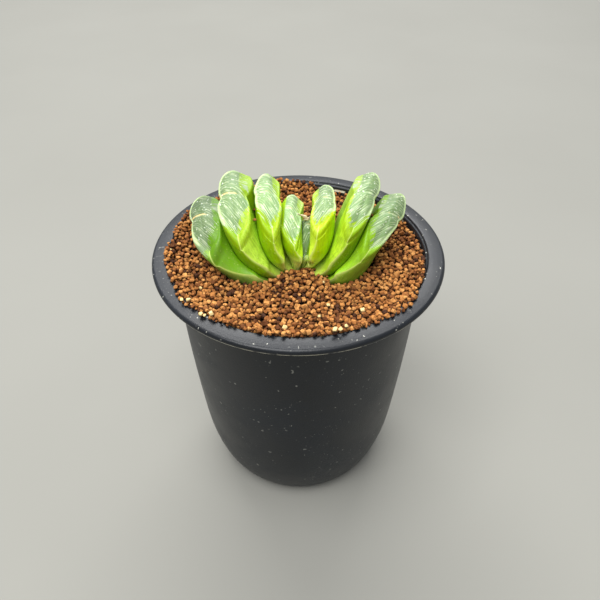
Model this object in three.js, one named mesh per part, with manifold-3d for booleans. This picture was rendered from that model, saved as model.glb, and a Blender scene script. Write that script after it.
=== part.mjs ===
// Potted haworthia: a round plastic pot with a broad rolled rim, filled with granular growing
// medium, holding one small fan of eight thick leaves that end in flat, translucent windows.
// Millimetres, +Z up, origin at the centre of the pot's base, the fan spread along X.
import * as THREE from 'three';
import { mergeVertices } from 'three/addons/utils/BufferGeometryUtils.js';
import Module from 'manifold-3d';

const wasm = await Module();
wasm.setup();

// ---- driving dimensions ---------------------------------------------------------------------
const RIM_RADIUS = 52.5;         // outside of the rolled rim
const POT_HEIGHT = 106.4;        // base to the top of the rim
const RIM_INNER_RADIUS = 46.1;   // inner edge of the rim's flat
const RIM_THICKNESS = 2.5;
const WALL = 1.3;                // side wall
const FLOOR = 1.8;               // pot floor
const WALL_TOP_RADIUS = 44.9;    // outside of the wall under the rim
const WALL_TOP_Z = 98;
const WALL_FOOT_RADIUS = 37.9;   // outside of the wall carried straight down to the base
const WALL_BULGE = 1.1;          // how far the wall swells out of a straight taper
const BOTTOM_ROUND_R = 7.3;      // bottom rounding, across
const BOTTOM_ROUND_Z = 30;       // bottom rounding, up
const FOOT_RING_WIDTH = 6;
const BASE_RECESS = 1.2;
const DRAIN_COUNT = 6;
const DRAIN_RADIUS = 3.2;
const DRAIN_CIRCLE = 15;
const CENTRE_DRAIN_RADIUS = 5;
const GAP = 0.3;                 // clearance kept between neighbouring pieces

const MEDIUM_LEVEL = 103.8;      // growing medium midway out to the wall
const STEM_TOP_Z = 100.5;
const STEM_FOOT_Z = 84;
const STEM_RADIUS = 6.5;
const ROOT_COUNT = 6;
const ROOT_RADIUS = 1.7;
const ROOT_LENGTH = 62;

// Each leaf: side of the fan, spine foot and tip in (outward, up), the spine's slope at both ends,
// half width along Y, half thickness, Y of the centre, how far the window climbs from front to
// back, how the window is turned in plan, where the front keel runs at tip and foot, how far the
// outer face bellies out low down, how far the inner face curls at the back, how pointed the
// front edge is, and how deep the fold across the window is.
const LEAVES = [
  { name: 'leaf_left_inner', side: -1, foot: [0.7, 101.5], tip: [3, 121.1], slope: [82, 88],
    width: 10.7, thick: 3.9, y: -1.2, rise: 5.2, turn: -4, keel: [0.6, 1], belly: 0.3,
    curl: 1.6, nose: 0.5, crease: 0, colour: 0x9fc23a },
  { name: 'leaf_centre_young', side: 1, foot: [1.3, 101.5], tip: [2.7, 115.3], slope: [82, 89],
    width: 4.4, thick: 2.8, y: -4, rise: 9.5, turn: 0, keel: [0, 0], belly: 0,
    curl: 0, nose: -0.45, crease: 0, colour: 0x7d9a55 },
  { name: 'leaf_right_inner', side: 1, foot: [1.9, 100.8], tip: [8.9, 124.8], slope: [36, 84],
    width: 10.9, thick: 4.1, y: 0, rise: 3.9, turn: 5, keel: [0.25, 1.15], belly: 0.4,
    curl: 0.6, nose: 0.5, crease: 0.2, colour: 0x9fc23a },
  { name: 'leaf_left_second', side: -1, foot: [1.9, 100.3], tip: [10.6, 127], slope: [26, 86],
    width: 12.2, thick: 4.4, y: 0, rise: 7.5, turn: 4, keel: [0.2, 1.25], belly: 0.5,
    curl: 1.6, nose: 0.5, crease: 0.35, colour: 0x90b535 },
  { name: 'leaf_right_second', side: 1, foot: [2.8, 99], tip: [22.8, 127.2], slope: [3, 64],
    width: 12.4, thick: 4.5, y: 0, rise: 8, turn: 14, keel: [-0.3, 1.1], belly: 1.1,
    curl: 2.8, nose: 0.5, crease: 0.8, colour: 0x86ad35 },
  { name: 'leaf_left_third', side: -1, foot: [2.8, 98.4], tip: [22.4, 126.5], slope: [2, 76],
    width: 13, thick: 5.6, y: 0, rise: 10.5, turn: 3, keel: [-0.1, 1.05], belly: 1,
    curl: 3.8, nose: 0.5, crease: 0.8, colour: 0x7aa031 },
  { name: 'leaf_right_outer', side: 1, foot: [3.5, 96.2], tip: [31.5, 118.6], slope: [-12, 56],
    width: 12.8, thick: 4.9, y: 0, rise: 7.5, turn: 22, keel: [-0.25, 1.5], belly: 3.2,
    curl: 2.6, nose: 0.5, crease: 0.8, colour: 0x63892c },
  { name: 'leaf_left_outer', side: -1, foot: [3.5, 96], tip: [33.2, 117.7], slope: [-12, 64],
    width: 12.6, thick: 5.8, y: 0, rise: 7.4, turn: 7, keel: [-0.35, 1.3], belly: 2.6,
    curl: 2, nose: 0.5, crease: 0.4, colour: 0x63892c },
];

// ---- helpers --------------------------------------------------------------------------------
const clamp = (v, lo, hi) => Math.min(hi, Math.max(lo, v));
const rad = (d) => d * Math.PI / 180;

function smooth(v) {
  const x = clamp(v, 0, 1);
  return x * x * (3 - 2 * x);
}

function toManifold(geometry) {
  const bare = geometry.clone();
  bare.deleteAttribute('normal');
  bare.deleteAttribute('uv');
  const g = mergeVertices(bare, 1e-5);
  return new wasm.Manifold(new wasm.Mesh({
    numProp: 3,
    vertProperties: new Float32Array(g.attributes.position.array),
    triVerts: new Uint32Array(g.index.array),
  }));
}

function toGeometry(solid) {
  const mesh = solid.getMesh();
  const g = new THREE.BufferGeometry();
  const points = new Float32Array(mesh.numVert * 3);
  for (let i = 0; i < mesh.numVert; i++) {
    for (let k = 0; k < 3; k++) points[3 * i + k] = mesh.vertProperties[mesh.numProp * i + k];
  }
  g.setAttribute('position', new THREE.BufferAttribute(points, 3));
  g.setIndex(new THREE.BufferAttribute(new Uint32Array(mesh.triVerts), 1));
  g.computeVertexNormals();
  return g;
}

function largestPiece(solid) {
  const pieces = solid.decompose();
  pieces.sort((a, b) => b.volume() - a.volume());
  return pieces[0];
}

// Closed skin over a stack of equal rings, with a fan of triangles closing each end.
function skin(rings, startPoint, endPoint) {
  const count = rings[0].length;
  const points = [];
  for (const ring of rings) for (const p of ring) points.push(p[0], p[1], p[2]);
  const first = points.length / 3;
  points.push(...startPoint);
  points.push(...endPoint);
  const index = [];
  for (let i = 0; i < rings.length - 1; i++) {
    for (let j = 0; j < count; j++) {
      const k = (j + 1) % count;
      const a = i * count + j;
      const b = i * count + k;
      const c = (i + 1) * count + k;
      const d = (i + 1) * count + j;
      index.push(a, b, c, a, c, d);
    }
  }
  const last = (rings.length - 1) * count;
  for (let j = 0; j < count; j++) {
    const k = (j + 1) % count;
    index.push(first, k, j);
    index.push(first + 1, last + j, last + k);
  }
  const g = new THREE.BufferGeometry();
  g.setAttribute('position', new THREE.BufferAttribute(new Float32Array(points), 3));
  g.setIndex(index);
  return g;
}

// Turns a solid the right way out if its skin was wound inwards.
function outward(geometry) {
  const p = geometry.attributes.position.array;
  const t = Array.from(geometry.index.array);
  let volume = 0;
  for (let i = 0; i < t.length; i += 3) {
    const a = new THREE.Vector3().fromArray(p, 3 * t[i]);
    const b = new THREE.Vector3().fromArray(p, 3 * t[i + 1]);
    const c = new THREE.Vector3().fromArray(p, 3 * t[i + 2]);
    volume += a.dot(b.cross(c));
  }
  if (volume < 0) {
    for (let i = 0; i < t.length; i += 3) [t[i], t[i + 1]] = [t[i + 1], t[i]];
    geometry.setIndex(t);
  }
  return geometry;
}

function lathe(profile, segments) {
  const g = new THREE.LatheGeometry(profile.map(([r, z]) => new THREE.Vector2(r, z)), segments);
  g.rotateX(Math.PI / 2);
  g.deleteAttribute('normal');
  g.deleteAttribute('uv');
  const merged = mergeVertices(g, 1e-4);
  const t = Array.from(merged.index.array);
  const kept = [];
  for (let i = 0; i < t.length; i += 3) {
    if (t[i] !== t[i + 1] && t[i + 1] !== t[i + 2] && t[i] !== t[i + 2]) kept.push(t[i], t[i + 1], t[i + 2]);
  }
  merged.setIndex(kept);
  return outward(merged);
}

// ---- pot ------------------------------------------------------------------------------------
// Outside radius of the pot at height z, below the rim.
function outerRadius(z) {
  const s = z / WALL_TOP_Z;
  let r = WALL_FOOT_RADIUS + (WALL_TOP_RADIUS - WALL_FOOT_RADIUS) * s + WALL_BULGE * 4 * s * (1 - s);
  if (z < BOTTOM_ROUND_Z) {
    const u = (BOTTOM_ROUND_Z - z) / BOTTOM_ROUND_Z;
    r -= BOTTOM_ROUND_R * (1 - Math.sqrt(1 - u * u));
  }
  return r;
}

const wallHeights = [1.2, 3.5, 8, 16, 28, 46, 72, WALL_TOP_Z];
const footOuter = outerRadius(0);
const footInner = footOuter - FOOT_RING_WIDTH;
const lipRadius = RIM_THICKNESS / 2;

function potProfile() {
  const outside = [[footOuter - 1.0, 0], [footOuter, 0.4]];
  for (const z of wallHeights) outside.push([outerRadius(z) + 0.2 * (z < 2 ? 1 : 0), z]);
  // swell out to the underside of the rim, then round its edge
  const lipCentre = POT_HEIGHT - 0.4 - lipRadius;
  outside.push([45.5, lipCentre - lipRadius - 1.7]);
  outside.push([47.0, lipCentre - lipRadius - 0.25]);
  for (let i = 0; i <= 5; i++) {
    const a = -Math.PI / 2 + Math.PI * i / 5;
    outside.push([RIM_RADIUS - lipRadius + lipRadius * Math.cos(a), lipCentre + lipRadius * Math.sin(a)]);
  }
  outside.push([RIM_RADIUS - 3.0, POT_HEIGHT - 0.16]);
  outside.push([RIM_RADIUS - 4.8, POT_HEIGHT]);
  outside.push([RIM_INNER_RADIUS + 0.7, POT_HEIGHT]);
  outside.push([RIM_INNER_RADIUS + 0.35, POT_HEIGHT - 0.3]);
  // step at the inner edge of the flat, then the inside wall
  outside.push([RIM_INNER_RADIUS - 0.2, POT_HEIGHT - 0.9]);
  outside.push([RIM_INNER_RADIUS - 0.6, POT_HEIGHT - 2.0]);
  outside.push([RIM_INNER_RADIUS - 1.7, POT_HEIGHT - 5.4]);
  const inside = wallHeights.filter((z) => z > FLOOR + 2).reverse();
  for (const z of inside) outside.push([outerRadius(z) - WALL, z]);
  outside.push([outerRadius(4) - WALL - 2.0, BASE_RECESS + FLOOR + 0.6]);
  outside.push([outerRadius(4) - WALL - 4.0, BASE_RECESS + FLOOR]);
  outside.push([0, BASE_RECESS + FLOOR]);
  outside.push([0, BASE_RECESS]);
  outside.push([footInner - 1.0, BASE_RECESS]);
  outside.push([footInner, 0]);
  outside.push([footOuter - 1.0, 0]);
  return outside;
}

function buildPot() {
  let pot = toManifold(lathe(potProfile(), 72));
  const hole = (r, x, y) => {
    const g = new THREE.CylinderGeometry(r, r, 12, 24);
    g.rotateX(Math.PI / 2);
    g.translate(x, y, 0);
    return toManifold(g);
  };
  pot = pot.subtract(hole(CENTRE_DRAIN_RADIUS, 0, 0));
  for (let i = 0; i < DRAIN_COUNT; i++) {
    const a = 2 * Math.PI * i / DRAIN_COUNT;
    pot = pot.subtract(hole(DRAIN_RADIUS, DRAIN_CIRCLE * Math.cos(a), DRAIN_CIRCLE * Math.sin(a)));
  }
  return pot;
}

// ---- leaves ---------------------------------------------------------------------------------
// A leaf is lofted along a curved spine in the fan's plane. Its section is a flattened oval with
// a keel on its front edge and a waist near the middle; grow swells it to cut clearances.
function leafGeometry(leaf, grow = 0, steps = 14, around = 24, windowRings = 3) {
  const foot = new THREE.Vector2(...leaf.foot);
  const tip = new THREE.Vector2(...leaf.tip);
  const span = foot.distanceTo(tip);
  const a0 = rad(leaf.slope[0]);
  const a1 = rad(leaf.slope[1]);
  const spine = new THREE.CubicBezierCurve(
    foot,
    foot.clone().add(new THREE.Vector2(Math.cos(a0), Math.sin(a0)).multiplyScalar(0.42 * span)),
    tip.clone().sub(new THREE.Vector2(Math.cos(a1), Math.sin(a1)).multiplyScalar(0.40 * span)),
    tip,
  );
  const turn = Math.tan(rad(leaf.turn));

  function ring(t, scale, lift) {
    const centre = spine.getPoint(t);
    const along = spine.getTangent(t);
    const halfWidth = leaf.width * (0.76 + 0.24 * smooth(t / 0.38) + 0.04 * Math.sin(Math.PI * t));
    const halfThick = leaf.thick * (0.50 + 0.50 * smooth(t / 0.7));
    const ripe = smooth((t - 0.45) / 0.55);
    const bent = smooth((t - 0.25) / 0.75);
    const keel = leaf.keel[1] + (leaf.keel[0] - leaf.keel[1]) * smooth((t - 0.35) / 0.65);
    const ridge = keel * (0.4 + 0.6 * smooth(t / 0.3));
    const points = [];
    for (let j = 0; j < around; j++) {
      const c = Math.cos(2 * Math.PI * j / around);
      const s = Math.sin(2 * Math.PI * j / around);
      const q = Math.sign(c) * Math.abs(c) ** 0.85;
      const front = clamp(-q, 0, 1);
      const back = clamp(q, 0, 1);
      const pointed = 0.95 + leaf.nose * clamp(-c, 0, 1) ** 1.5 - 0.32 * clamp(c, 0, 1);
      const blunt = s < 0 ? 0.74 : 1.1 + 0.25 * front;
      const sharp = blunt + (pointed - blunt) * ripe * ripe;
      let b = Math.sign(s) * Math.abs(s) ** sharp * halfThick;
      b *= 1 - (0.06 + 0.15 * leaf.crease) * ripe * Math.exp(-((q - 0.10) ** 2) / 0.012);
      b *= 1 + 0.07 * ripe * Math.sin(5.0 * q + 2.4 * leaf.tip[0] + (s > 0 ? 2.0 : 0));
      b -= leaf.belly * Math.exp(-(((t - 0.40) / 0.22) ** 2)) * clamp(-s, 0, 1) ** 0.7;
      b += leaf.curl * back ** 1.5 * clamp(s, 0, 1) ** 0.8 * smooth((t - 0.2) / 0.6);
      b += halfThick * front ** 2.6 * ridge;
      b += halfThick * ripe * 0.20 * back * back;
      const qs = q * scale;
      const bs = b * scale / halfThick;
      const near = clamp(-qs, 0, 1);
      const far = clamp(qs, 0, 1);
      let shift = leaf.rise * 0.5 * (1.15 * qs - 0.3 * far) - 0.9 * Math.abs(qs) ** 2.2 - 1.2 * near ** 4;
      shift -= (1.1 + 1.6 * far) * smooth((bs - 0.1) / 0.9);
      shift -= 0.6 * leaf.crease * Math.exp(-((qs - 0.10 + 0.10 * bs) ** 2) / 0.006);
      shift *= bent;
      const across = (halfWidth * q + grow * q) * scale;
      const out = (b + grow * Math.sign(s) * Math.abs(s) ** 0.6) * scale;
      const up = shift + lift;
      let x = centre.x - along.y * out + along.x * up;
      const z = centre.y + along.x * out + along.y * up;
      x += turn * across * bent;
      points.push([leaf.side * x, leaf.y + across - (1 - t) * 0.4, z]);
    }
    return points;
  }

  const rings = [];
  if (grow > 0) rings.push(ring(0, 1, -grow));
  for (let i = 0; i <= steps; i++) rings.push(ring(i / steps, 1, 0));
  if (grow > 0) rings.push(ring(1, 1, grow));
  for (let i = 1; i <= windowRings; i++) {
    const scale = 1 - i / (windowRings + 1);
    rings.push(ring(1, scale, 1.5 * (1 - scale * scale) + grow));
  }
  const middle = (points) => {
    const sum = [0, 0, 0];
    for (const p of points) for (let k = 0; k < 3; k++) sum[k] += p[k] / points.length;
    return sum;
  };
  const crown = ring(1, 0.001, 1.5 + grow)[0];
  return outward(skin(rings, middle(rings[0]), crown));
}

// Inner leaves are whole; each leaf further out is hollowed where it wraps an inner one.
function buildLeaves() {
  const built = [];
  for (const leaf of LEAVES) {
    let body = toManifold(leafGeometry(leaf));
    for (const inner of built) body = body.subtract(inner.swollen);
    body = largestPiece(body);
    built.push({ leaf, body, swollen: toManifold(leafGeometry(leaf, leaf.nose < 0 ? 2 * GAP : GAP)) });
  }
  return built;
}

// Shrivelled brown tip left on the youngest leaf.
function dryTip() {
  const rings = [];
  for (let i = 0; i <= 5; i++) {
    const t = i / 5;
    const r = 0.95 * (1 - 0.75 * t);
    const ring = [];
    for (let j = 0; j < 8; j++) {
      const a = 2 * Math.PI * j / 8 + 0.9 * t;
      ring.push([
        2.9 + 0.9 * Math.sin(3.2 * t) + r * Math.cos(a),
        -1.2 - 1.2 * t + 0.5 * r * Math.sin(a),
        120.4 + 2.4 * t,
      ]);
    }
    rings.push(ring);
  }
  return toManifold(outward(skin(rings, [2.9, -1.2, 120.4], [2.9 + 0.9 * Math.sin(3.2), -2.4, 122.9])));
}

// ---- stem and roots -------------------------------------------------------------------------
function stemSolid(grow) {
  const profile = [
    [0, STEM_FOOT_Z - 2 - grow], [STEM_RADIUS * 0.6 + grow, STEM_FOOT_Z - 1 - grow],
    [STEM_RADIUS + grow, STEM_FOOT_Z + 1.5], [STEM_RADIUS + grow, STEM_FOOT_Z + 6],
    [STEM_RADIUS * 0.8 + grow, STEM_FOOT_Z + 10], [3.2 + grow, STEM_TOP_Z - 3],
    [1.4 + grow, STEM_TOP_Z + grow], [0, STEM_TOP_Z + 0.4 + grow],
  ];
  return toManifold(lathe(profile, 24));
}

function rootSolid(index, grow) {
  const a = 2 * Math.PI * (index + 0.3) / ROOT_COUNT;
  const reach = 13 + 9 * ((index * 2) % 3) / 2;
  const drop = ROOT_LENGTH * (0.8 + 0.2 * (index % 2));
  const spot = (r, z, twist) => new THREE.Vector3(r * Math.cos(a + twist), r * Math.sin(a + twist), z);
  const curve = new THREE.CatmullRomCurve3([
    spot(1.5, STEM_FOOT_Z + 4, 0), spot(STEM_RADIUS + 2, STEM_FOOT_Z - 3, 0.1),
    spot(reach, STEM_FOOT_Z - 0.4 * drop, 0.35), spot(reach * 0.9, STEM_FOOT_Z - 0.75 * drop, 0.1),
    spot(reach * 1.1, STEM_FOOT_Z - drop, 0.3),
  ]);
  const rings = [];
  const steps = 10;
  for (let i = 0; i <= steps; i++) {
    const t = i / steps;
    const p = curve.getPoint(t);
    const along = curve.getTangent(t);
    const u = new THREE.Vector3(-Math.sin(a), Math.cos(a), 0);
    const v = new THREE.Vector3().crossVectors(along, u).normalize();
    u.crossVectors(v, along).normalize();
    const r = ROOT_RADIUS * (1 - 0.65 * t * t) + grow;
    const ring = [];
    for (let j = 0; j < 8; j++) {
      const b = 2 * Math.PI * j / 8;
      const q = p.clone().addScaledVector(u, r * Math.cos(b)).addScaledVector(v, r * Math.sin(b));
      ring.push([q.x, q.y, q.z]);
    }
    rings.push(ring);
  }
  const end = curve.getPoint(1).addScaledVector(curve.getTangent(1), 0.6 + grow);
  const start = curve.getPoint(0);
  return toManifold(outward(skin(rings, [start.x, start.y, start.z], [end.x, end.y, end.z])));
}

function stemAndRoots(grow) {
  let body = stemSolid(grow);
  for (let i = 0; i < ROOT_COUNT; i++) body = body.add(rootSolid(i, grow));
  return body;
}

// ---- growing medium -------------------------------------------------------------------------
// Height of the medium's surface: up to the brim nearly all round, heaped at the back left, lower
// at the right and behind the fan, dished where the outer leaves lean out, and drawn up into a
// small mound against the front of the fan.
function mediumHeight(x, y) {
  const brim = 1.6 * smooth((Math.hypot(x, y) - 34) / 10);
  const heap = 2.6 * Math.exp(-((x + 17) ** 2 + (y - 40) ** 2) / 420);
  const left = 1.3 * Math.exp(-((x + 45) ** 2 + (y - 4) ** 2) / 260);
  const right = -1.5 * Math.exp(-((x - 44) ** 2 + (y - 12) ** 2) / 420);
  const behind = -2.6 * Math.exp(-((x - 20) ** 2 + (y - 40) ** 2) / 200);
  const mound = 1.4 * Math.exp(-(x ** 2 + (y + 11) ** 2) / 50);
  const dish = -4.4 * Math.exp(-((Math.abs(x) - 18) ** 2) / 110 - ((y + 8) ** 2) / 170);
  return MEDIUM_LEVEL + brim + heap + left + right + behind + mound + dish;
}

function buildMedium(leaves, roots) {
  const inner = (z) => outerRadius(z) - WALL - GAP;
  const segments = 60;
  const rings = [];
  const disc = (r, height) => {
    const ring = [];
    for (let j = 0; j < segments; j++) {
      const a = 2 * Math.PI * j / segments;
      const x = r * Math.cos(a);
      const y = r * Math.sin(a);
      ring.push([x, y, height(x, y)]);
    }
    return ring;
  };
  const flat = (z) => () => z;
  const bottom = BASE_RECESS + FLOOR + GAP;
  rings.push(disc(inner(4) - 4.0, flat(bottom)));
  rings.push(disc(inner(4) - 2.1, flat(bottom + 0.7)));
  for (const z of wallHeights.filter((h) => h > FLOOR + 2)) rings.push(disc(inner(z), flat(z)));
  rings.push(disc(RIM_INNER_RADIUS - 2.1, flat(POT_HEIGHT - 5.4)));
  for (const r of [RIM_INNER_RADIUS - 1.7, 39, 32, 25, 18, 11, 4]) rings.push(disc(r, mediumHeight));
  let body = toManifold(outward(skin(rings, [0, 0, bottom], [0, 0, mediumHeight(0, 0)])));
  for (const one of leaves) body = body.subtract(one.swollen);
  body = body.subtract(roots);
  return largestPiece(body);
}

// ---- assembly -------------------------------------------------------------------------------
function piece(name, solid, colour, roughness) {
  const material = new THREE.MeshStandardMaterial({ color: colour, roughness, metalness: 0 });
  const mesh = new THREE.Mesh(toGeometry(solid), material);
  mesh.name = name;
  return mesh;
}

const model = new THREE.Group();
model.name = 'potted_haworthia';

const leaves = buildLeaves();
let stem = stemAndRoots(0);
for (const one of leaves) stem = stem.subtract(one.swollen);
stem = largestPiece(stem);

model.add(piece('pot', buildPot(), 0x2b2d30, 0.6));
model.add(piece('growing_medium', buildMedium(leaves, stemAndRoots(GAP)), 0x8a5630, 0.95));
model.add(piece('stem_and_roots', stem, 0xcdbb8e, 0.8));
for (const one of leaves) model.add(piece(one.leaf.name, one.body, one.leaf.colour, 0.4));
model.add(piece('dry_leaf_tip', dryTip(), 0xb59a74, 0.9));

export default model;
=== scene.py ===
# A small haworthia in a black plastic pot: eight thick leaves in a fan, standing in a bed of
# fired-clay grains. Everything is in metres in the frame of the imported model, +Z up, with the
# middle of the pot's base at the origin.
import math
import random

import bmesh
import bpy
import numpy as np
from mathutils import Matrix, Vector, noise
from mathutils.bvhtree import BVHTree


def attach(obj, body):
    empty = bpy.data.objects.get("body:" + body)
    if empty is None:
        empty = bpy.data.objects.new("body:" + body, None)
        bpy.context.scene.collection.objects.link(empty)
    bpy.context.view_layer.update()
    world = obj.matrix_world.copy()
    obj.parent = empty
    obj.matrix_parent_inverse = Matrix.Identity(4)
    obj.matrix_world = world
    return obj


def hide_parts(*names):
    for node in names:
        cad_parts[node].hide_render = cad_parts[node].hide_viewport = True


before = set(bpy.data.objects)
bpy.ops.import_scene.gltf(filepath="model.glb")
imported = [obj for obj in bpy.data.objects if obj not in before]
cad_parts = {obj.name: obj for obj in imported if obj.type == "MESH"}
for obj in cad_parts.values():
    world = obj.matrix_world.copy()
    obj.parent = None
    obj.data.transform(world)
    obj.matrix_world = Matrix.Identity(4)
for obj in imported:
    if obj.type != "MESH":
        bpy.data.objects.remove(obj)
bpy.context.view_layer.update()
MM = 0.001


# ---- Pot -------------------------------------------------------------------------------------
# A single moulding in thin black polypropylene: tapered body with a well rounded bottom, a foot
# ring, drain holes, and a broad rim that rolls over into a rounded lip.
def add_node(tree, kind, props=None, **inputs):
    """Adds one shader node; an input is a number, a colour or another node's socket."""
    made = tree.nodes.new(kind)
    for key, value in (props or {}).items():
        setattr(made, key, value)
    for key, value in inputs.items():
        socket = made.inputs[int(key[2:]) if key.startswith("in") else key.replace("_", " ")]
        if isinstance(value, bpy.types.NodeSocket):
            tree.links.new(value, socket)
        else:
            socket.default_value = value
    return made


def start_finish(name, **shader_inputs):
    """A new material with its shader; returns the material, its tree and the shader."""
    material = bpy.data.materials.new(name)
    material.use_nodes = True
    tree = material.node_tree
    shader = tree.nodes["Principled BSDF"]
    for key, value in shader_inputs.items():
        shader.inputs[key.replace("_", " ")].default_value = value
    return material, tree, shader


def place(tree):
    return add_node(tree, "ShaderNodeTexCoord").outputs["Object"]


def speckle(tree, where, scale, detail=2.0, roughness=0.5):
    return add_node(tree, "ShaderNodeTexNoise", None, Vector=where, Scale=scale, Detail=detail,
                    Roughness=roughness).outputs["Fac"]


def step_between(tree, value, low, high, out_low=0.0, out_high=1.0):
    return add_node(tree, "ShaderNodeMapRange", {"interpolation_type": "SMOOTHSTEP"}, in0=value, in1=low,
                    in2=high, in3=out_low, in4=out_high).outputs[0]


def maths(tree, how, a, b=0.0):
    return add_node(tree, "ShaderNodeMath", {"operation": how}, in0=a, in1=b).outputs[0]


def times(tree, a, b):
    return maths(tree, "MULTIPLY", a, b)


def plus(tree, a, b):
    return maths(tree, "ADD", a, b)


def minus(tree, a, b):
    return maths(tree, "SUBTRACT", a, b)


def tint(tree, amount, colour_a, colour_b, how="MIX"):
    return add_node(tree, "ShaderNodeMix", {"data_type": "RGBA", "blend_type": how}, in0=amount,
                    in6=colour_a, in7=colour_b).outputs[2]


def relief(tree, shader, height, strength, distance):
    bump = add_node(tree, "ShaderNodeBump", None, Strength=strength, Distance=distance, Height=height)
    tree.links.new(bump.outputs["Normal"], shader.inputs["Normal"])
    return bump


def rgb(red, green, blue):
    """A screen colour, 0 to 255, as the linear colour that a shader takes."""
    parts = [c / 255 for c in (red, green, blue)]
    return tuple(c / 12.92 if c <= 0.04045 else ((c + 0.055) / 1.055) ** 2.4 for c in parts) + (1.0,)


def shape_object(name, bm, smooth=True):
    """Turns a finished bmesh into an object that sits at the origin."""
    mesh = bpy.data.meshes.new(name)
    bm.to_mesh(mesh)
    bm.free()
    mesh.polygons.foreach_set("use_smooth", [smooth] * len(mesh.polygons))
    made = bpy.data.objects.new(name, mesh)
    bpy.context.scene.collection.objects.link(made)
    return made


wall = 1.3
floor_thickness = 1.8
base_recess = 1.2
wall_top_z = 98.0


def pot_outside(z):
    """Outside radius of the pot's body at height z, in millimetres."""
    s = z / wall_top_z
    radius = 37.9 + 7.0 * s + 1.1 * 4 * s * (1 - s)
    if z < 30:
        radius -= 7.3 * (1 - math.sqrt(1 - ((30 - z) / 30) ** 2))
    return radius


foot_outer = pot_outside(0)
foot_inner = foot_outer - 6
heights = [1.0, 1.8, 3, 4.5, 6.5, 9, 12, 16, 20, 25, 31, 38, 46, 55, 65, 75, 85, 93, 98]
section = [(foot_outer - 1.0, 0), (foot_outer - 0.2, 0.12), (foot_outer + 0.12, 0.5)]
section += [(pot_outside(z), z) for z in heights]
section += [(45.2, 100.4), (45.5, 101.8), (46.1, 102.8), (47.2, 103.3), (50.2, 103.45)]
for i in range(13):
    turn = -math.pi / 2 + math.pi * i / 12
    section.append((51.25 + 1.25 * math.cos(turn), 104.75 + 1.25 * math.sin(turn)))
section += [(50.5, 106.12), (49.6, 106.24), (48.4, 106.35), (47.2, 106.4), (46.75, 106.36),
            (46.5, 106.15), (46.42, 105.75), (46.25, 105.55), (45.9, 105.45), (45.7, 105.2),
            (45.55, 104.6), (45.1, 103.0), (44.4, 101.0), (43.8, 99.4)]
section += [(pot_outside(z) - wall, z) for z in reversed(heights) if z > 4]
inner_floor_z = base_recess + floor_thickness
section += [(pot_outside(4) - wall - 1.2, 3.4), (pot_outside(4) - wall - 3.5, inner_floor_z),
            (0, inner_floor_z)]
under = [(0, base_recess), (foot_inner - 1.0, base_recess), (foot_inner - 0.3, 0.8), (foot_inner, 0.15),
         (foot_inner + 0.3, 0)]


def turned(outline, steps, closed):
    """Spins an outline of (radius, height) in millimetres once round the upright axis."""
    bm = bmesh.new()
    verts = [bm.verts.new((r * MM, 0, z * MM)) for r, z in outline]
    edges = [bm.edges.new(pair) for pair in zip(verts, verts[1:] + ([verts[0]] if closed else []))]
    bmesh.ops.spin(bm, geom=verts + edges, cent=(0, 0, 0), axis=(0, 0, 1), dvec=(0, 0, 0),
                   angle=2 * math.pi, steps=steps, use_merge=True, use_duplicate=False)
    bmesh.ops.remove_doubles(bm, verts=bm.verts, dist=1e-6)
    bmesh.ops.recalc_face_normals(bm, faces=bm.faces)
    return bm


def drilled(body, holes):
    """Cuts round holes of (radius, x, y) in millimetres up through the pot's floor."""
    drill_mesh = bmesh.new()
    for radius, x, y in holes:
        bmesh.ops.create_cone(drill_mesh, cap_ends=True, segments=40, radius1=radius * MM,
                              radius2=radius * MM, depth=12 * MM,
                              matrix=Matrix.Translation((x * MM, y * MM, 0)))
    drill = shape_object("drill", drill_mesh)
    cut = body.modifiers.new("drain", "BOOLEAN")
    cut.object = drill
    cut.solver = "EXACT"
    bpy.context.view_layer.update()
    cut_mesh = bpy.data.meshes.new_from_object(body.evaluated_get(bpy.context.evaluated_depsgraph_get()))
    body.modifiers.clear()
    body.data = cut_mesh
    bpy.data.objects.remove(drill)
    return body


drain_holes = [(5.0, 0, 0)]
drain_holes += [(3.2, 15 * math.cos(k * math.pi / 3), 15 * math.sin(k * math.pi / 3)) for k in range(6)]
pot = drilled(shape_object("pot_body", turned(section + under, 180, True)), drain_holes)

plastic, tree, shader = start_finish("black_pot_plastic", Roughness=0.42, Specular_IOR_Level=0.42)
spot = place(tree)
separate = add_node(tree, "ShaderNodeSeparateXYZ", None, Vector=spot)
up = separate.outputs["Z"]
cloud = speckle(tree, spot, 34, 4, 0.62)
fine = speckle(tree, spot, 1500, 2, 0.6)
body_colour = tint(tree, step_between(tree, cloud, 0.36, 0.70), rgb(8, 13, 19), rgb(16, 22, 29))

# dust: scattered specks, with finer ones in drifts, and faint smears
dust = step_between(tree, speckle(tree, spot, 420, 1.5, 0.5), 0.715, 0.77)
motes = step_between(tree, speckle(tree, spot, 950, 1, 0.5), 0.71, 0.76)
drifts = times(tree, motes, step_between(tree, cloud, 0.45, 0.60))
dust = maths(tree, "MAXIMUM", dust, drifts)
body_colour = tint(tree, times(tree, dust, 0.55), body_colour, rgb(150, 150, 142))
smear = times(tree, step_between(tree, speckle(tree, spot, 9, 3, 0.7), 0.52, 0.72),
              step_between(tree, fine, 0.42, 0.62))
body_colour = tint(tree, times(tree, smear, 0.16), body_colour, rgb(120, 122, 118))

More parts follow.
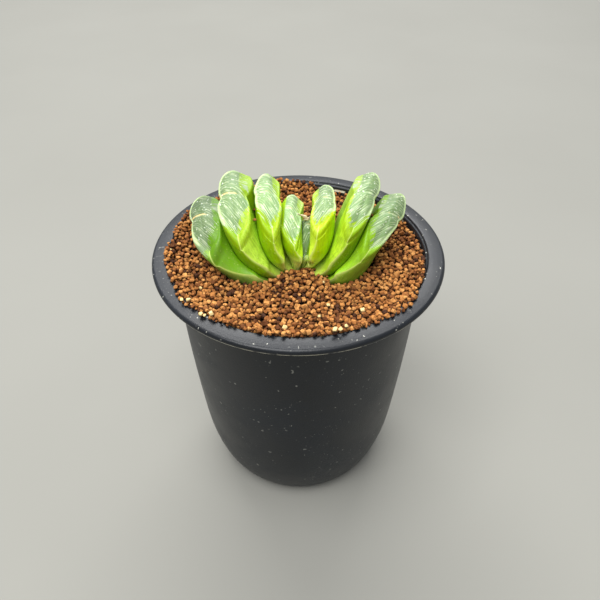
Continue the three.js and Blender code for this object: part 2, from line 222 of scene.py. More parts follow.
# lime left by watering: a thin broken line along the underside of the lip, and spots on the rim
low_lip = times(tree, step_between(tree, up, 0.10340, 0.10360), step_between(tree, up, 0.10450, 0.10418))
front = step_between(tree, separate.outputs["Y"], -0.02, -0.045)
patches = plus(tree, speckle(tree, spot, 75, 4, 0.75), times(tree, front, 0.055))
lime = times(tree, low_lip, step_between(tree, patches, 0.49, 0.57))
spots = times(tree, step_between(tree, speckle(tree, spot, 620, 2, 0.6), 0.70, 0.74),
              step_between(tree, up, 0.1035, 0.1042))
body_colour = tint(tree, times(tree, lime, 0.95), body_colour, rgb(214, 208, 186))
body_colour = tint(tree, times(tree, spots, 0.8), body_colour, rgb(205, 203, 190))
tree.links.new(body_colour, shader.inputs["Base Color"])
tree.links.new(step_between(tree, cloud, 0.3, 0.75, 0.36, 0.50), shader.inputs["Roughness"])
relief(tree, shader, fine, 0.30, 0.00014)
pot.data.materials.clear()
pot.data.materials.append(plastic)
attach(pot, "root")
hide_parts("pot")


# ---- Growing medium --------------------------------------------------------------------------
# The pot is filled to the brim with small fired-clay grains. This is a solid mass of them in place
# of the imported one, sitting a little below the loose top layers, which are separate grains further
# down.
def ease(value):
    value = min(1.0, max(0.0, value))
    return value * value * (3 - 2 * value)


def medium_level(x, y):
    """Height of the top of the grains at a point, all in millimetres."""
    brim = 1.6 * ease((math.hypot(x, y) - 34) / 10)
    heap = 2.6 * math.exp(-((x + 17) ** 2 + (y - 40) ** 2) / 420)
    left = 1.3 * math.exp(-((x + 45) ** 2 + (y - 4) ** 2) / 260)
    right = -1.5 * math.exp(-((x - 44) ** 2 + (y - 12) ** 2) / 420)
    behind = -2.6 * math.exp(-((x - 20) ** 2 + (y - 40) ** 2) / 200)
    mound = 1.4 * math.exp(-(x ** 2 + (y + 11) ** 2) / 50)
    dish = -4.4 * math.exp(-((abs(x) - 18) ** 2) / 110 - ((y + 8) ** 2) / 170)
    return 103.8 + brim + heap + left + right + behind + mound + dish


loose_depth = 2.3
bed_outline = [(0, 3.4), (pot_outside(4) - wall - 4.2, 3.4), (pot_outside(4) - wall - 2.0, 4.0)]
bed_outline += [(pot_outside(z) - wall - 0.3, z) for z in heights if z > 6]
bed_outline += [(43.9, 100.4), (43.6, 101), (42.4, 101), (41, 101)]
bed_outline += [(41 - 1.0 * k, 101) for k in range(1, 41)]
bed_outline += [(0, 101)]
bm = turned(bed_outline, 128, False)
for vert in bm.verts:
    if vert.co.z > 100.9 * MM:
        x, y = vert.co.x / MM, vert.co.y / MM
        lumps = 0.45 * noise.noise(Vector((x * 0.8, y * 0.8, 3.0)))
        vert.co.z = (medium_level(x, y) - loose_depth + lumps) * MM
bed = shape_object("medium_bed", bm)

clay, tree, shader = start_finish("packed_clay", Roughness=0.95, Specular_IOR_Level=0.15)
spot = place(tree)
cells = add_node(tree, "ShaderNodeTexVoronoi", None, Vector=spot, Scale=560.0)
crumb = tint(tree, speckle(tree, spot, 420, 3, 0.6), rgb(48, 26, 14), rgb(104, 60, 32))
# painted shade: the packed grains darken towards their edges, where shade falls between them
painted_gap_shade = step_between(tree, cells.outputs["Distance"], 0.2, 0.75)
tree.links.new(tint(tree, painted_gap_shade, crumb, rgb(24, 13, 8)), shader.inputs["Base Color"])
relief(tree, shader, cells.outputs["Distance"], 0.8, 0.0008).invert = True
bed.data.materials.append(clay)
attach(bed, "root")
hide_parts("growing_medium")


# ---- Stem and roots --------------------------------------------------------------------------
# The short stem and its thick, pale roots are all underground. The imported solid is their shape,
# so it only gets its finish: a wrinkled, earth-stained skin.
root_skin, tree, shader = start_finish("root_skin", Roughness=0.7, Specular_IOR_Level=0.3)
spot = place(tree)
stretched = add_node(tree, "ShaderNodeMapping", None, Vector=spot, Scale=(1.0, 1.0, 3.5)).outputs[0]
wrinkles = speckle(tree, stretched, 700, 3, 0.6)
skin = tint(tree, speckle(tree, spot, 160, 4, 0.7), rgb(214, 198, 152), rgb(158, 118, 70))
tree.links.new(tint(tree, step_between(tree, wrinkles, 0.45, 0.7), skin, rgb(120, 84, 48)),
               shader.inputs["Base Color"])
relief(tree, shader, wrinkles, 0.6, 0.0004)
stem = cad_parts["stem_and_roots"]
stem.data.materials.clear()
stem.data.materials.append(root_skin)


# ---- Leaves ----------------------------------------------------------------------------------
# Eight firm, water-filled leaves in two ranks. Each rises on a curved line from the short stem,
# has a keel down its front edge, and ends as if cut off in a flat window of clear tissue, waisted
# in the middle, with pale fern-like veins. Outer leaves wrap the foot of the next one in.
leaves = [
    dict(name="leaf_left_inner", side=-1, foot=(0.7, 101.5), tip=(3.0, 121.1), slope=(82, 88),
         width=10.7, thick=3.9, y=-1.2, rise=5.2, turn=-4, keel=(0.60, 1.00), belly=0.3, curl=1.6,
         nose=0.5, crease=0.0, shade=0.05, clear=1.06, back=(196, 222, 130),
         window=(0.80, 1.30, -0.42, 1.6, 0.5, 3.4, 5.0), flank=((164, 208, 0), (186, 228, 34))),
    dict(name="leaf_centre_young", side=1, foot=(1.3, 101.5), tip=(2.7, 115.3), slope=(82, 89),
         width=4.4, thick=2.8, y=-4.0, rise=9.5, turn=0, keel=(0, 0), belly=0.0, curl=0.0,
         nose=-0.45, crease=0.0, shade=0.30, clear=0.88, back=(130, 176, 20),
         window=(2.0, 2.0, -2.0, -1.6, 0.5, 3.6, 1.2), flank=((132, 180, 0), (132, 180, 0))),
    dict(name="leaf_right_inner", side=1, foot=(1.9, 100.8), tip=(8.9, 124.8), slope=(36, 84),
         width=10.9, thick=4.1, y=0, rise=3.9, turn=5, keel=(0.25, 1.15), belly=0.4, curl=0.6,
         nose=0.5, crease=0.2, shade=0.08, clear=0.95, back=(160, 200, 50),
         window=(0.80, 0.95, -2.0, 3.4, 0.4, 2.5, 5.0), flank=((204, 240, 8), (212, 242, 64))),
    dict(name="leaf_left_second", side=-1, foot=(1.9, 100.3), tip=(10.6, 127.0), slope=(26, 86),
         width=12.2, thick=4.4, y=0, rise=7.5, turn=4, keel=(0.20, 1.25), belly=0.5, curl=1.6,
         nose=0.5, crease=0.35, shade=0.15, clear=1.05, back=(142, 190, 42),
         window=(0.72, 1.10, -2.0, 3.4, 0.1, 4.4, 4.8), flank=((158, 204, 0), (198, 236, 44))),
    dict(name="leaf_right_second", side=1, foot=(2.8, 99.0), tip=(22.8, 127.2), slope=(3, 64),
         width=12.4, thick=4.5, y=0, rise=8.0, turn=14, keel=(-0.30, 1.10), belly=1.1, curl=2.8,
         nose=0.5, crease=0.8, shade=0.28, clear=0.95, back=(156, 184, 86),
         window=(0.95, 1.00, -2.0, 2.8, 0.1, 3.2, 5.5), flank=((132, 182, 0), (196, 236, 50))),
    dict(name="leaf_left_third", side=-1, foot=(2.8, 98.4), tip=(22.4, 126.5), slope=(2, 76),
         width=13.0, thick=5.6, y=0, rise=10.5, turn=3, keel=(-0.10, 1.05), belly=1.0, curl=3.8,
         nose=0.5, crease=0.8, shade=0.35, clear=0.94, back=(88, 124, 18),
         window=(0.74, 1.10, -2.0, 3.0, -0.1, 2.0, 6.5), flank=((144, 198, 0), (196, 236, 70))),
    dict(name="leaf_right_outer", side=1, foot=(3.5, 96.2), tip=(31.5, 118.6), slope=(-12, 56),
         width=12.8, thick=4.9, y=0, rise=7.5, turn=22, keel=(-0.25, 1.50), belly=3.2, curl=2.6,
         nose=0.5, crease=0.8, shade=0.75, clear=0.90, back=(76, 112, 22),
         window=(1.00, 0.90, -2.0, 2.6, -0.3, 2.4, 5.6), flank=((158, 204, 56), (158, 212, 30))),
    dict(name="leaf_left_outer", side=-1, foot=(3.5, 96.0), tip=(33.2, 117.7), slope=(-12, 64),
         width=12.6, thick=5.8, y=0, rise=7.4, turn=7, keel=(-0.35, 1.30), belly=2.6, curl=2.0,
         nose=0.5, crease=0.4, shade=0.80, clear=0.76, back=(80, 120, 28),
         window=(0.86, 0.84, -2.0, 1.6, -0.6, 1.0, 6.0), flank=((162, 206, 82), (112, 166, 0))),
]
columns = 96
flank_rows = 66
lip_rows = 8
window_rows = 34


def spine_point(leaf, t):
    """Point and direction on the leaf's middle line, in the fan's plane, in millimetres."""
    foot, tip = Vector(leaf["foot"]), Vector(leaf["tip"])
    span = (tip - foot).length
    low, high = (math.radians(a) for a in leaf["slope"])
    near = foot + 0.42 * span * Vector((math.cos(low), math.sin(low)))
    far = tip - 0.40 * span * Vector((math.cos(high), math.sin(high)))
    m = 1 - t
    point = m ** 3 * foot + 3 * m * m * t * near + 3 * m * t * t * far + t ** 3 * tip
    along = 3 * m * m * (near - foot) + 6 * m * t * (far - near) + 3 * t * t * (tip - far)
    return point, along.normalized()


def leaf_row(leaf, t, roll, scale, crown):
    """One ring of the leaf: points, and for each its place across and through the leaf. Roll goes
    from 0 to 1 as the flank turns over the rounded edge into the window."""
    centre, along = spine_point(leaf, t)
    half_width = leaf["width"] * (0.76 + 0.24 * ease(t / 0.38) + 0.04 * math.sin(math.pi * t))
    half_thick = leaf["thick"] * (0.50 + 0.50 * ease(t / 0.7))
    ripe = ease((t - 0.45) / 0.55)
    bent = ease((t - 0.25) / 0.75)
    keel = leaf["keel"][1] + (leaf["keel"][0] - leaf["keel"][1]) * ease((t - 0.35) / 0.65)
    keel *= 0.4 + 0.6 * ease(t / 0.3)
    turn = math.tan(math.radians(leaf["turn"]))
    row = []
    for i in range(columns + 1):
        c = math.cos(2 * math.pi * i / columns)
        s = math.sin(2 * math.pi * i / columns)
        q = math.copysign(abs(c) ** 0.85, c)
        front, back = max(0.0, -q), max(0.0, q)
        pointed = 0.95 + leaf["nose"] * max(0.0, -c) ** 1.5 - 0.32 * max(0.0, c)
        blunt = 0.74 if s < 0 else 1.1 + 0.25 * front
        sharp = blunt + (pointed - blunt) * ripe * ripe
        b = math.copysign(abs(s) ** sharp, s) * half_thick
        b *= 1 - (0.06 + 0.15 * leaf["crease"]) * ripe * math.exp(-((q - 0.10) ** 2) / 0.012)
        b *= 1 + 0.07 * ripe * math.sin(5.0 * q + 2.4 * leaf["tip"][0] + (2.0 if s > 0 else 0.0))
        b -= leaf["belly"] * math.exp(-(((t - 0.40) / 0.22) ** 2)) * max(0.0, -s) ** 0.7
        b += leaf["curl"] * back ** 1.5 * max(0.0, s) ** 0.8 * ease((t - 0.2) / 0.6)
        b += half_thick * front ** 2.6 * keel
        b += half_thick * ripe * 0.20 * back * back
        qs, bs = q * scale, b * scale / half_thick
        near, far = max(0.0, -qs), max(0.0, qs)
        shift = leaf["rise"] * 0.5 * (1.15 * qs - 0.3 * far) - 0.9 * abs(qs) ** 2.2 - 1.2 * near ** 4
        shift -= (1.1 + 1.6 * far) * ease((bs - 0.1) / 0.9)
        shift -= 0.6 * leaf["crease"] * math.exp(-((qs - 0.10 + 0.10 * bs) ** 2) / 0.006)
        shift *= bent
        edge = min(0.6 + 3.0 * front ** 2.5, 0.3 * half_width) * ease((t - 0.85) / 0.15)
        shrink = 1 - math.cos(roll * math.pi / 2)
        across = half_width * q * scale * (1 - edge * shrink / half_width)
        out = b * scale * (1 - min(edge, 0.22 * half_thick) * shrink / half_thick)
        rise = shift + crown - edge * (1 - math.sin(roll * math.pi / 2))
        x = centre.x - along.y * out + along.x * rise + turn * across * bent
        z = centre.y + along.x * out + along.y * rise
        y = leaf["y"] + across - (1 - t) * 0.4
        row.append((Vector((leaf["side"] * x, y, z)) * MM, across, out, s, front))
    return row


def grow_leaf(leaf, inner_trees):
    """Bends a flat grid round into the leaf's closed skin and records its growth lines."""
    middle = [spine_point(leaf, k / 40)[0] for k in range(41)]
    length = sum((b - a).length for a, b in zip(middle, middle[1:]))
    rows = [(leaf_row(leaf, 0, 0, 0.0, -0.6), 0, -length), (leaf_row(leaf, 0, 0, 0.6, -0.5), 0, -length)]
    for k in range(flank_rows + 1):
        t = k / flank_rows
        rows.append((leaf_row(leaf, t, 0, 1, 0), t * length, -(1 - t) * length - 0.6))
    for k in range(1, lip_rows + 1):
        rows.append((leaf_row(leaf, 1, k / lip_rows, 1, 0), length, -0.6 * (1 - k / lip_rows)))
    for k in range(1, window_rows + 1):
        scale = 1 - k / window_rows
        crown = 1.5 * (1 - scale * scale)
        rows.append((leaf_row(leaf, 1, 1, scale, crown), length, (1 - scale) * leaf["thick"]))

    bm = bmesh.new()
    bmesh.ops.create_grid(bm, x_segments=columns, y_segments=len(rows) - 1, size=1.0)
    layer_names = ("across", "depth", "along", "inset", "face", "keel")
    layers = {key: bm.verts.layers.float.new(key) for key in layer_names}
    for vert in bm.verts:
        i = round((vert.co.x + 1) / 2 * columns)
        row, along, inset = rows[round((vert.co.y + 1) / 2 * (len(rows) - 1))]
        point, across, out, s, front = row[i]
        swell = 0.10 * noise.noise(Vector((across * 0.25, along * 0.16, out * 0.3 + 7 * leaf["tip"][0])))
        vert.co = point + Vector((swell * leaf["side"], 0, 0.5 * swell)) * MM
        vert[layers["across"]] = across
        vert[layers["depth"]] = out / leaf["thick"]
        vert[layers["along"]] = along
        vert[layers["inset"]] = inset
        vert[layers["face"]] = s
        on_keel = math.exp(-((min(abs(i - columns / 2), 40) / 1.4) ** 2))
        vert[layers["keel"]] = on_keel if inset < 0 else 0.0
    bmesh.ops.remove_doubles(bm, verts=bm.verts, dist=1e-7)
    bmesh.ops.recalc_face_normals(bm, faces=bm.faces)
    clearance = 0.12
    for tree in inner_trees:
        for vert in bm.verts:
            near, normal, _, _ = tree.find_nearest(vert.co, 4 * MM)
            if near is not None and (vert.co - near).dot(normal) < clearance * MM:
                vert.co = near + normal * clearance * MM
    return bm


leaf_pieces = []
leaf_trees = []
for leaf in leaves:
    bm = grow_leaf(leaf, leaf_trees)
    leaf_trees.append(BVHTree.FromBMesh(bm))
    piece = shape_object(leaf["name"] + "_flesh", bm)
    leaf_pieces.append((piece, leaf))


def growth(tree, name):
    return add_node(tree, "ShaderNodeAttribute", {"attribute_name": name}).outputs["Fac"]


def darker(colour, factor):
    return tuple(factor * c for c in colour[:3]) + (1.0,)


def leaf_flesh(leaf):
    """Leaf skin from bright inner green to the darker outer leaves, with its clear window."""
    shade, half_depth = leaf["shade"], leaf["width"]
    material, tree, shader = start_finish(leaf["name"] + "_skin", Roughness=0.4, Specular_IOR_Level=0.4,
                                          Subsurface_Weight=0.16, Subsurface_Scale=0.0012, IOR=1.45)
    shader.inputs["Subsurface Radius"].default_value = (0.9, 1.0, 0.25)
    spot = place(tree)
    across, fullness = growth(tree, "across"), growth(tree, "depth")
    depth = times(tree, fullness, leaf["thick"])
    along, inset = growth(tree, "along"), growth(tree, "inset")
    face, keel = growth(tree, "face"), growth(tree, "keel")

    # green flank: its two sides and its back differ, with faint lengthwise streaks and blotches
    # the greens of the two sides are partly the leaf's own and partly painted light and shade, each set
    # for how that side is lit
    dark, bright = (rgb(*colour) for colour in leaf["flank"])
    flank = tint(tree, step_between(tree, face, -0.12, 0.12), dark, bright)
    behind = times(tree, step_between(tree, face, -0.35, 0.1), step_between(tree, across, -3.0, 3.0))
    flank = tint(tree, times(tree, behind, 0.9), flank, rgb(*leaf["back"]))
    lengthwise = add_node(tree, "ShaderNodeCombineXYZ", None, X=across, Y=times(tree, along, 0.09),
                          Z=depth).outputs[0]
    streaks = speckle(tree, lengthwise, 1.6, 3, 0.6)
    streaked = times(tree, step_between(tree, streaks, 0.40, 0.70), 0.48)
    flank = tint(tree, streaked, flank, darker(dark, 0.62))
    blotches = step_between(tree, speckle(tree, spot, 210, 2, 0.6), 0.46, 0.66)
    flank = tint(tree, times(tree, blotches, 0.34), flank, darker(dark, 0.5))

    # small pale warts, a paler foot, a deeper green collar below the window and a pale keel line
    warts = step_between(tree, speckle(tree, spot, 1150, 1.5, 0.6), 0.65, 0.71)
    flank = tint(tree, times(tree, warts, 0.45), flank, rgb(214, 236, 120))
    # the paler foot is partly the leaf's own pale base and partly painted light against the shade low
    # down among the leaves
    foot = times(tree, step_between(tree, along, 13, 3), 0.6 * (1 - shade))
    flank = tint(tree, foot, flank, rgb(228, 234, 128))
    collar = times(tree, step_between(tree, inset, -8.0, -1.5),
                   step_between(tree, streaks, 0.3, 0.6, 0.3, 0.62))
    flank = tint(tree, collar, flank, (0.55 * bright[0], 0.55 * bright[1], 0.0, 1.0))
    flank = tint(tree, times(tree, keel, 0.7), flank, rgb(232, 248, 140))

    # window: grey-green clear tissue with slanting pale veins, and painted shade that darkens its upper
    # end, which faces the light from above
    slant = step_between(tree, across, 6.0, -5.0, 0.10, 1.25)
    slanted = plus(tree, across, times(tree, depth, slant))
    vein_place = add_node(tree, "ShaderNodeCombineXYZ", None, X=slanted,
                          Y=times(tree, depth, 0.16)).outputs[0]
    veins = step_between(tree, speckle(tree, vein_place, 1.8, 1.5, 0.55), 0.50, 0.60)
    window_tones = ((118, 154, 96), (158, 188, 126), (240, 255, 206))
    low, high, pale = (rgb(*(leaf["clear"] * c for c in tone)) for tone in window_tones)
    clear = tint(tree, speckle(tree, spot, 260, 2, 0.5), low, high)
    patchy = step_between(tree, speckle(tree, spot, 320, 1, 0.5), 0.35, 0.65, 0.25, 0.75)
    window = tint(tree, times(tree, veins, patchy), clear, pale)
    # painted shade: the window's colour is taken down towards its upper end, where more light falls on
    # it
    upper_window_shade = step_between(tree, across, 0.9 * half_depth, -0.6 * half_depth, 0.60, 1.0)
    window = tint(tree, 1.0, window, upper_window_shade, "MULTIPLY")

    # its pale rim, the corky scar across its waist, and small white specks that are painted glints off
    # tiny pimples
    rim = times(tree, step_between(tree, inset, 0.7, 0.1), step_between(tree, face, 0.25, -0.35))
    rim = times(tree, rim, step_between(tree, across, 3.5 - half_depth, 7.0 - half_depth, 0.1, 0.65))
    window = tint(tree, rim, window, rgb(216, 240, 172))
    off_waist = minus(tree, minus(tree, across, 1.2), times(tree, depth, -0.25))
    scar = times(tree, step_between(tree, maths(tree, "ABSOLUTE", off_waist), 0.42, 0.10),
                 step_between(tree, speckle(tree, spot, 190, 2, 0.5), 0.44, 0.58))
    scar_strength = 1.0 if leaf["crease"] > 0.3 else 0.4
    scar = times(tree, scar, step_between(tree, fullness, 0.40, 0.15, 0.0, scar_strength))
    scar = times(tree, scar, step_between(tree, fullness, -0.85, -0.55, 0.25, 1.0))
    window = tint(tree, scar, window, rgb(236, 206, 140))
    painted_glint_specks = step_between(tree, speckle(tree, spot, 1150, 1, 0.5), 0.67, 0.71)
    window = tint(tree, times(tree, painted_glint_specks, 0.7), window, rgb(240, 248, 226))

    # where the window gives way to green: a ragged edge combed along the veins on the inner side,
    # a crisp one on the outer side, and a tongue running down to the front ridge
    upper, lower, outer, tongue, apex, outer_slope, inner_slope = leaf["window"]
    ragged = minus(tree, veins, 0.5)
    inner_limit = step_between(tree, across, -1.5, 2.5, lower, upper)
    inner_limit = plus(tree, inner_limit, times(tree, ragged, 0.46))
    beside = minus(tree, inner_limit, fullness)
    beside = maths(tree, "MINIMUM", beside, minus(tree, fullness, outer))
    off_apex = minus(tree, fullness, apex)
    tip_line = plus(tree, times(tree, maths(tree, "MAXIMUM", off_apex, 0.0), inner_slope),
                    times(tree, maths(tree, "MINIMUM", off_apex, 0.0), -outer_slope))
    above = plus(tree, minus(tree, across, tip_line), half_depth - tongue)
    above = plus(tree, above, times(tree, ragged, 1.8))
    clear_here = times(tree, step_between(tree, beside, -0.05, 0.05),
                       step_between(tree, above, -0.25, 0.25))
    clear_here = times(tree, clear_here, step_between(tree, inset, -0.75, -0.35))
    tree.links.new(tint(tree, clear_here, flank, window), shader.inputs["Base Color"])
    tree.links.new(plus(tree, 0.34, times(tree, streaks, 0.2)), shader.inputs["Roughness"])
    bumps = plus(tree, times(tree, veins, times(tree, clear_here, 0.5)),
                 plus(tree, times(tree, warts, 0.6), times(tree, painted_glint_specks, 0.4)))
    relief(tree, shader, bumps, 0.5, 0.00018)
    return material


for piece, leaf in leaf_pieces:
    piece.data.materials.append(leaf_flesh(leaf))
    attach(piece, "root")
    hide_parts(leaf["name"])


# ---- Dry leaf tip ----------------------------------------------------------------------------
# Scraps of dead, papery leaf tissue, three crumpled shreds that still hang together on the tip of
# the youngest leaf. Each is given as its root, its lean, its length and its breadth.
shreds = (((2.7, -0.9, 118.5), (-0.75, 0.05), 3.7, 1.0),
          ((3.2, -1.1, 118.4), (0.45, -0.20), 3.1, 0.9),
          ((2.4, -1.5, 118.0), (0.05, -0.45), 2.6, 0.8))
bm = bmesh.new()
for root, lean, length, broad in shreds:
    shred = bmesh.new()
    bmesh.ops.create_grid(shred, x_segments=8, y_segments=20, size=1.0)
    for vert in shred.verts:
        u, v = vert.co.x, (vert.co.y + 1) / 2
        width = broad * (1 - 0.8 * v ** 1.5) * (1 + 0.3 * math.sin(11 * v + root[0]))
        crumple = 0.25 * noise.noise(Vector((u * 1.7, v * 4.0, root[0])))
        roll = u * (0.9 + 1.3 * v)
        x = root[0] + lean[0] * length * v + 0.35 * math.sin(5 * v) + width * math.sin(roll) + crumple
        y = root[1] + lean[1] * length * v + width * 0.7 * (1 - math.cos(roll)) + crumple
        z = root[2] + length * (v - 0.35 * v * v) - 0.4 * u * u * v
        vert.co = Vector((x, y, z)) * MM
    bmesh.ops.solidify(shred, geom=shred.faces[:], thickness=0.14 * MM)
    bmesh.ops.recalc_face_normals(shred, faces=shred.faces)
    shred_mesh = bpy.data.meshes.new("shred")
    shred.to_mesh(shred_mesh)
    shred.free()
    bm.from_mesh(shred_mesh)
    bpy.data.meshes.remove(shred_mesh)
dry_tip = shape_object("dry_tip", bm)
papery, tree, shader = start_finish("dry_papery_tissue", Roughness=0.85, Specular_IOR_Level=0.2)
spot = place(tree)
drawn_out = add_node(tree, "ShaderNodeMapping", None, Vector=spot, Scale=(4, 4, 1)).outputs[0]
fibre = speckle(tree, drawn_out, 600, 3)
tree.links.new(tint(tree, fibre, rgb(176, 142, 98), rgb(246, 236, 206)), shader.inputs["Base Color"])
relief(tree, shader, fibre, 0.6, 0.0002)
dry_tip.data.materials.append(papery)
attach(dry_tip, "root")
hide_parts("dry_leaf_tip")


# ---- Loose grains ----------------------------------------------------------------------------
# The top layers of the medium: rounded, crumbly grains of orange-brown fired clay one to two and
# a half millimetres across, with a few pale pumice and a few dark ones, dropped one by one so
# that each comes to rest on those below and clear of the leaves.
rng = random.Random(41)
chips = []
for k in range(9):
    bm = bmesh.new()
    bmesh.ops.create_cube(bm, size=1.66)
    bmesh.ops.bevel(bm, geom=bm.edges[:], offset=rng.uniform(0.30, 0.46), offset_type="OFFSET",
                    segments=1, profile=0.5, affect="EDGES", material=-1)
    for vert in bm.verts:
        vert.co *= 1 + rng.uniform(-0.30, 0.16)
    chip = bpy.data.meshes.new("chip")
    bm.to_mesh(chip)
    bm.free()
    chips.append(chip)

cell = 2.6
cells_of_grains = {}
grains = []

# how far out the grains lie, for bearings from the right-hand side, anticlockwise in degrees
bearings = (0, 15, 40, 75, 92, 112, 135, 158, 172, 187, 211,
            219, 232, 245, 271, 289, 306, 316, 326, 336, 347, 360)
spread_to = (45.4, 45.3, 45.3, 45.3, 46.4, 47.6, 47.4, 48.6, 47.4, 48.2, 48.3,
             49.1, 48.4, 47.5, 47.2, 47.7, 48.5, 49.4, 47.9, 46.5, 45.8, 45.4)


def resting_height(x, y, r):
    """How low a grain's centre can come at a point before it touches the bed or a grain."""
    z = medium_level(x, y) - loose_depth + 0.55 * r if math.hypot(x, y) < 45.8 else 106.3 + 0.75 * r
    ix, iy = int(x // cell), int(y // cell)
    for jx in (ix - 1, ix, ix + 1):
        for jy in (iy - 1, iy, iy + 1):
            for gx, gy, gz, gr in cells_of_grains.get((jx, jy), ()):
                reach = 0.86 * (r + gr)
                d2 = (x - gx) ** 2 + (y - gy) ** 2
                if d2 < reach * reach:
                    z = max(z, gz + math.sqrt(reach * reach - d2))
    return z


def clear_of_leaves(x, y, z, r):
    here = Vector((x, y, z)) * MM
    for tree in leaf_trees:
        near, normal, _, gap = tree.find_nearest(here, 6 * MM)
        if near is not None and ((here - near).dot(normal) < 0 or gap < 0.72 * r * MM):
            return False
    return True


def drop_grain(x, y, r, spread, tries, ceiling):
    """Lets a grain roll to the lowest of a few nearby places and keeps it if it fits."""
    best = None
    for _ in range(tries):
        px, py = x + rng.uniform(-spread, spread), y + rng.uniform(-spread, spread)
        reach = math.hypot(px, py)
        bearing = math.degrees(math.atan2(py, px)) % 360
        if reach > np.interp(bearing, bearings, spread_to) - 0.8 * r:
            continue
        pz = resting_height(px, py, r)
        sink = pz - (medium_level(px, py) if reach < 45.4 else 106.7)
        if best is None or sink < best[0]:
            best = (sink, px, py, pz)
    if best is None or best[0] + 0.8 * r > ceiling:
        return
    _, px, py, pz = best
    if clear_of_leaves(px, py, pz, r):
        keep_grain(px, py, pz, r, rng.random() * 0.996)


def keep_grain(x, y, z, r, kind):
    cells_of_grains.setdefault((int(x // cell), int(y // cell)), []).append((x, y, z, r))
    grains.append((x, y, z, r, kind))


main_drops = 9500
for _ in range(main_drops):
    reach = 49.5 * math.sqrt(rng.random())
    bearing = rng.uniform(0, 2 * math.pi)
    size = min(1.35, max(0.52, rng.gauss(0.86, 0.19)))
    drop_grain(reach * math.cos(bearing), reach * math.sin(bearing), size, 1.6, 5, 0.55)

# a second, narrower fall that spills over the brim onto the rim
brim_drops = 2600
for _ in range(brim_drops):
    reach = rng.uniform(44.6, 49.6)
    bearing = rng.uniform(0, 2 * math.pi)
    size = min(1.2, max(0.55, rng.gauss(0.88, 0.18)))
    drop_grain(reach * math.cos(bearing), reach * math.sin(bearing), size, 0.5, 3, 1.5)

# pale pumice grains on top, most of them near the brim
pumice = ((-30.6, -37.6, 0.8), (-29.4, -37.9, 0.6), (-27.2, -38.3, 0.95), (-37.5, -31.1, 0.75),
          (-35.2, -31.6, 0.8), (11.2, -45.6, 0.95), (12.9, -45.3, 0.7), (14.8, -43.8, 0.75),
          (9.9, -29.4, 0.7))
for x, y, r in pumice:
    keep_grain(x, y, resting_height(x, y, r), r, 1.0)

# strays caught between the leaves
for x, y, z, r in ((-14.9, -2.0, 118.5, 0.75), (-15.2, 3.0, 119.3, 0.6), (12.5, -4.0, 112.7, 0.8),
                   (25.9, 3.2, 117.1, 0.75)):
    for k in range(14):
        if clear_of_leaves(x, y - 0.15 * k, z + 0.15 * k, r):
            keep_grain(x, y - 0.15 * k, z + 0.15 * k, r, 0.5)
            break

sectors = [[], [], []]
for grain in grains:
    sectors[0 if grain[1] < -16 else (1 if grain[0] < 0 else 2)].append(grain)

grain_clay, tree, shader = start_finish("grain_clay", Roughness=0.88, Specular_IOR_Level=0.25)
spot = place(tree)
tone = growth(tree, "tone")
kind = growth(tree, "kind")
ramp = add_node(tree, "ShaderNodeValToRGB", None, Fac=tone)
ramp.color_ramp.elements[0].color = rgb(92, 54, 27)
ramp.color_ramp.elements[1].color = rgb(234, 170, 98)
for where, colour in ((0.3, rgb(164, 104, 53)), (0.62, rgb(204, 138, 72))):
    ramp.color_ramp.elements.new(where).color = colour
fired = ramp.outputs["Color"]
fired = tint(tree, step_between(tree, kind, 0.9935, 0.9945), fired, rgb(242, 214, 150))
fired = tint(tree, step_between(tree, kind, 0.06, 0.055), fired, rgb(58, 38, 28))
mottle = speckle(tree, spot, 1100, 3, 0.65)
mottled_clay = times(tree, step_between(tree, mottle, 0.30, 0.72, 0.6, 0.0),
                     step_between(tree, kind, 0.9945, 0.9935))
fired = tint(tree, mottled_clay, fired, rgb(96, 52, 22))
# painted shade: each grain darkens towards its lower side, where shade falls between the grains
painted_underside_shade = step_between(tree, growth(tree, "upper"), 0.80, 0.20, 0.0, 0.94)
fired = tint(tree, painted_underside_shade, fired, rgb(30, 14, 6))
tree.links.new(fired, shader.inputs["Base Color"])
relief(tree, shader, speckle(tree, spot, 2300, 3, 0.6), 0.7, 0.0003)

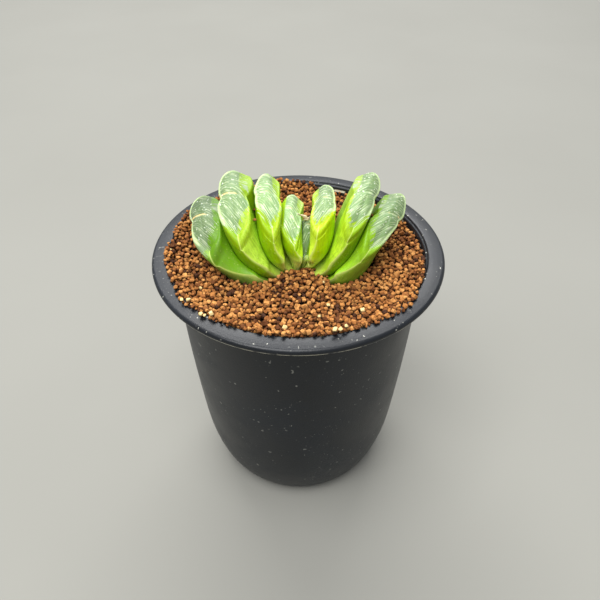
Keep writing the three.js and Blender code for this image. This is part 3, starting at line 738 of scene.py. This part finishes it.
for part, sector in zip(("front", "left", "right"), sectors):
    bm = bmesh.new()
    for x, y, z, r, kind in sector:
        chip = rng.choice(chips).copy()
        tumble_angle = rng.uniform(0, 6.28)
        tumble_axis = Vector((rng.gauss(0, 1), rng.gauss(0, 1), rng.gauss(0, 1)))
        tumble = Matrix.Rotation(tumble_angle, 4, tumble_axis)
        stretch = Matrix.Diagonal((rng.uniform(0.82, 1.12), rng.uniform(0.82, 1.12),
                                   rng.uniform(0.78, 1.02), 1))
        at = Matrix.Translation(Vector((x, y, z)) * MM)
        chip.transform(at @ tumble @ stretch @ Matrix.Scale(r * MM, 4))
        bm.from_mesh(chip)
        bpy.data.meshes.remove(chip)
    heap = shape_object("loose_grains_" + part, bm, smooth=False)
    per = len(heap.data.vertices) // max(1, len(sector))
    per_grain = (("tone", [rng.random() for _ in sector]), ("kind", [grain[4] for grain in sector]))
    for key, each in per_grain:
        values = np.repeat(each, per).astype(np.float32)
        heap.data.attributes.new(key, "FLOAT", "POINT").data.foreach_set("value", values)
    # each grain's height within itself, from 0 at its lowest point to 1 at its top, which the material
    # uses for the painted shade
    level = np.empty(len(heap.data.vertices) * 3, dtype=np.float32)
    heap.data.vertices.foreach_get("co", level)
    level = level.reshape(-1, per, 3)[:, :, 2]
    level = (level - level.min(1, keepdims=True)) / np.ptp(level, axis=1)[:, None]
    heap.data.attributes.new("upper", "FLOAT", "POINT").data.foreach_set("value", level.ravel())
    heap.data.materials.append(grain_clay)
    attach(heap, "root")
for chip in chips:
    bpy.data.meshes.remove(chip)


# ---- Studio ----------------------------------------------------------------------------------
# A plain pale floor, a large soft light overhead, a broad one behind that shows in the rim, and
# an even pale surround. The camera looks down over the front of the rim.
bm = bmesh.new()
bmesh.ops.create_grid(bm, x_segments=1, y_segments=1, size=4.0)
studio_floor = shape_object("studio_floor", bm)
pale, tree, shader = start_finish("pale_floor", Roughness=0.8, Specular_IOR_Level=0.2)
spot = place(tree)
tree.links.new(tint(tree, speckle(tree, spot, 6, 3, 0.5), rgb(139, 138, 131), rgb(147, 146, 139)),
               shader.inputs["Base Color"])
studio_floor.data.materials.append(pale)


def soft_light(name, power, size, at, towards):
    lamp = bpy.data.lights.new(name, "AREA")
    lamp.energy = power
    lamp.shape = "RECTANGLE"
    lamp.size, lamp.size_y = size
    made = bpy.data.objects.new(name, lamp)
    made.location = at
    made.rotation_euler = (Vector(towards) - Vector(at)).to_track_quat("-Z", "Y").to_euler()
    bpy.context.scene.collection.objects.link(made)
    return made


soft_light("overhead", 13.5, (0.7, 0.7), (-0.2, -0.35, 1.1), (0, 0, 0.08))
soft_light("behind", 39.0, (1.8, 0.9), (-0.1, 1.2, 1.5), (0, 0, 0.1))
world = bpy.data.worlds.new("surround")
bpy.context.scene.world = world
world.use_nodes = True
world.node_tree.nodes["Background"].inputs["Color"].default_value = (0.93, 0.96, 1.0, 1.0)
world.node_tree.nodes["Background"].inputs["Strength"].default_value = 0.58

lens = bpy.data.cameras.new("camera")
lens.sensor_width = 36.0
lens.lens = 36.0
lens.clip_start = 0.005
camera = bpy.data.objects.new("camera", lens)
camera.location = (0.00058, -0.17624, 0.23522)
camera.rotation_euler = (math.radians(90 - 41.3), 0, 0)
bpy.context.scene.collection.objects.link(camera)
bpy.context.scene.camera = camera
bpy.context.scene.view_settings.view_transform = "Standard"
